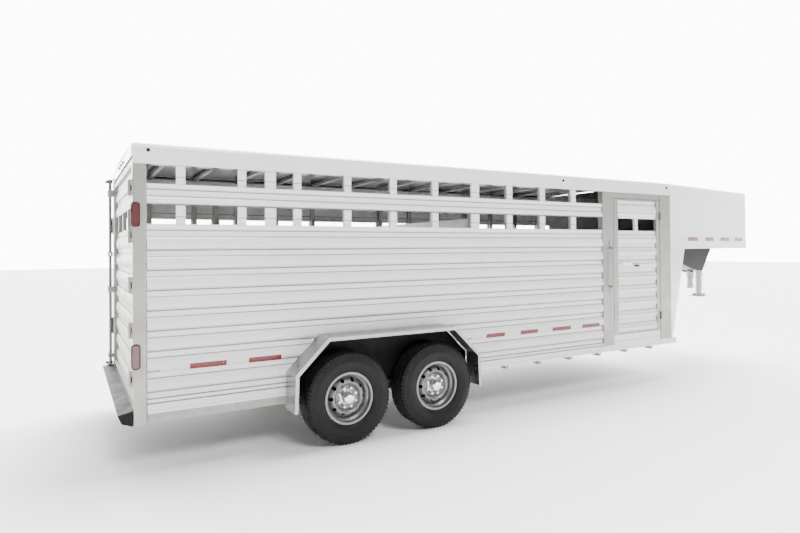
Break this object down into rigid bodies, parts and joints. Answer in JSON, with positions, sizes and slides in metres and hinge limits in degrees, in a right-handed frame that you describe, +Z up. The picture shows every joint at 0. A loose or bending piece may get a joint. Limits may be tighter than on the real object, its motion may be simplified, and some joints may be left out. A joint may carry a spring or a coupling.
{
  "type": "livestock trailer",
  "caption": "Gooseneck tandem-axle livestock trailer with slatted walls, rear gate, side door, centre gate, box nose and drop-leg jack.",
  "frame": {"origin": "on the ground under the middle of the trailer's overall length, on its centre plane", "axes": "+X forward to the gooseneck, +Y to the left (street) side, +Z up"},
  "size_m": [8.667, 2.594, 2.4873],
  "materials": {
    "white_paint": "painted white",
    "mill_aluminium": "mill finish",
    "black_paint": "satin",
    "zinc_plate": "zinc plated",
    "dark_steel": "oiled",
    "wheel_silver": "satin",
    "hub_iron": "painted",
    "tyre_rubber": "matte",
    "bumper_rubber": "matte",
    "lamp_red": "gloss",
    "tape": "reflective",
    "chrome": "polished",
    "floor_aluminium": "worn"
  },
  "bodies": {
    "trailer_frame": {"axle_beams": "black_paint", "coupler_tube": "zinc_plate", "crossmembers": "mill_aluminium", "door_posts": "mill_aluminium", "fenders": "mill_aluminium", "floor_planks": "floor_aluminium", "front_wall": "mill_aluminium", "grab_handle": "mill_aluminium", "hinge_brackets": "mill_aluminium", "jack_housing": "zinc_plate", "lamps": "lamp_red", "neck": "black_paint", "nose_cap": "white_paint", "nose_floor": "mill_aluminium", "nose_rub_rail": "white_paint", "nose_skin": "white_paint", "panel_fasteners": "zinc_plate", "rear_bumper": "bumper_rubber", "rear_frame": "mill_aluminium", "reflective_tape": "tape", "roof_bows": "mill_aluminium", "roof_rails": "white_paint", "roof_skin": "white_paint", "side_planks_left": "white_paint", "side_planks_right": "white_paint", "side_sills": "white_paint", "wall_posts": "mill_aluminium", "wheel_boxes": "black_paint"},
    "rear_gate": {"gate_frame": "mill_aluminium", "gate_planks": "mill_aluminium", "gate_hinge_leaves": "mill_aluminium"},
    "lock_rod": {"gate_lock_rod": "dark_steel"},
    "side_door": {"door_frame": "mill_aluminium", "door_planks": "white_paint"},
    "door_latch_lever": {"door_latch": "chrome"},
    "centre_gate": {"centre_gate_frame": "mill_aluminium", "centre_gate_slats": "mill_aluminium"},
    "centre_bolt": {"centre_gate_latch": "dark_steel"},
    "jack_leg": {"jack_inner_leg": "zinc_plate"},
    "jack_drop": {"jack_drop_leg": "zinc_plate"},
    "jack_pin": {"jack_pull_pin": "dark_steel"},
    "jack_handle": {"jack_crank": "zinc_plate"},
    "coupler_inner": {"coupler_socket": "zinc_plate"},
    "coupler_plate": {"coupler_lock": "dark_steel"},
    "arm_rear_right": {"torsion_arm_rear_right": "black_paint"},
    "wheel_rear_right": {"tyre_rear_right": "tyre_rubber", "rim_rear_right": "wheel_silver", "hub_rear_right": "hub_iron"},
    "arm_rear_left": {"torsion_arm_rear_left": "black_paint"},
    "wheel_rear_left": {"tyre_rear_left": "tyre_rubber", "rim_rear_left": "wheel_silver", "hub_rear_left": "hub_iron"},
    "arm_front_right": {"torsion_arm_front_right": "black_paint"},
    "wheel_front_right": {"tyre_front_right": "tyre_rubber", "rim_front_right": "wheel_silver", "hub_front_right": "hub_iron"},
    "arm_front_left": {"torsion_arm_front_left": "black_paint"},
    "wheel_front_left": {"tyre_front_left": "tyre_rubber", "rim_front_left": "wheel_silver", "hub_front_left": "hub_iron"}
  },
  "joints": [
    {"name": "rear_gate_swing", "type": "hinge", "parent": "trailer_frame", "child": "rear_gate", "pos_m": [-4.2425, -0.987, 1.4], "axis": [0, 0, 1], "range_deg": [0, 180]},
    {"name": "lock_rod_turn", "type": "hinge", "parent": "rear_gate", "child": "lock_rod", "pos_m": [-4.2605, 1.007, 1.4], "axis": [0, 0, 1], "range_deg": [-95, 0]},
    {"name": "side_door_swing", "type": "hinge", "parent": "trailer_frame", "child": "side_door", "pos_m": [1.8085, -1.083, 1.4], "axis": [0, 0, 1], "range_deg": [0, 170]},
    {"name": "door_latch_turn", "type": "hinge", "parent": "side_door", "child": "door_latch_lever", "pos_m": [1.1235, -1.08, 1.458], "axis": [0, -1, 0], "range_deg": [-90, 0]},
    {"name": "centre_gate_swing", "type": "hinge", "parent": "trailer_frame", "child": "centre_gate", "pos_m": [-1.0555, 0.962, 1.2], "axis": [0, 0, 1], "range_deg": [-88, 88]},
    {"name": "centre_bolt_slide", "type": "slide", "parent": "centre_gate", "child": "centre_bolt", "axis": [0, 1, 0], "range_m": [0, 0.06]},
    {"name": "jack_crank_turn", "type": "hinge", "parent": "trailer_frame", "child": "jack_handle", "pos_m": [3.8215, 0, 1.48], "axis": [0, 1, 0], "range_deg": [0, 10800]},
    {"name": "jack_leg_slide", "type": "slide", "parent": "trailer_frame", "child": "jack_leg", "axis": [0, 0, -1], "range_m": [0, 0.38]},
    {"name": "jack_drop_slide", "type": "slide", "parent": "jack_leg", "child": "jack_drop", "axis": [0, 0, -1], "range_m": [0, 0.36]},
    {"name": "jack_pin_pull", "type": "slide", "parent": "jack_leg", "child": "jack_pin", "axis": [1, 0, 0], "range_m": [0, 0.05], "stiffness_N_per_m": 400},
    {"name": "coupler_height", "type": "slide", "parent": "trailer_frame", "child": "coupler_inner", "axis": [0, 0, -1], "range_m": [-0.08, 0.1]},
    {"name": "coupler_plate_turn", "type": "hinge", "parent": "coupler_inner", "child": "coupler_plate", "pos_m": [4.0115, 0, 1.006], "axis": [0, 0, 1], "range_deg": [0, 50]},
    {"name": "arm_rear_right_swing", "type": "hinge", "parent": "trailer_frame", "child": "arm_rear_right", "pos_m": [-2.43967, -1.03, 0.312], "axis": [0, 1, 0], "range_deg": [-12, 22], "stiffness_Nm_per_rad": 3500, "springref_deg": 1.15},
    {"name": "wheel_rear_right_spin", "type": "hinge", "parent": "arm_rear_right", "child": "wheel_rear_right", "pos_m": [-2.57, -1.1715, 0.391], "axis": [0, 1, 0], "continuous": true},
    {"name": "arm_rear_left_swing", "type": "hinge", "parent": "trailer_frame", "child": "arm_rear_left", "pos_m": [-2.43967, 1.03, 0.312], "axis": [0, 1, 0], "range_deg": [-12, 22], "stiffness_Nm_per_rad": 3500, "springref_deg": 1.15},
    {"name": "wheel_rear_left_spin", "type": "hinge", "parent": "arm_rear_left", "child": "wheel_rear_left", "pos_m": [-2.57, 1.1715, 0.391], "axis": [0, 1, 0], "continuous": true},
    {"name": "arm_front_right_swing", "type": "hinge", "parent": "trailer_frame", "child": "arm_front_right", "pos_m": [-1.55197, -1.03, 0.312], "axis": [0, 1, 0], "range_deg": [-12, 22], "stiffness_Nm_per_rad": 3500, "springref_deg": 1.15},
    {"name": "wheel_front_right_spin", "type": "hinge", "parent": "arm_front_right", "child": "wheel_front_right", "pos_m": [-1.6823, -1.1715, 0.391], "axis": [0, 1, 0], "continuous": true},
    {"name": "arm_front_left_swing", "type": "hinge", "parent": "trailer_frame", "child": "arm_front_left", "pos_m": [-1.55197, 1.03, 0.312], "axis": [0, 1, 0], "range_deg": [-12, 22], "stiffness_Nm_per_rad": 3500, "springref_deg": 1.15},
    {"name": "wheel_front_left_spin", "type": "hinge", "parent": "arm_front_left", "child": "wheel_front_left", "pos_m": [-1.6823, 1.1715, 0.391], "axis": [0, 1, 0], "continuous": true}
  ],
  "couplings": [
    {"joint": "jack_leg_slide", "follows": "jack_crank_turn", "m_per_rad": 0.002016}
  ]
}
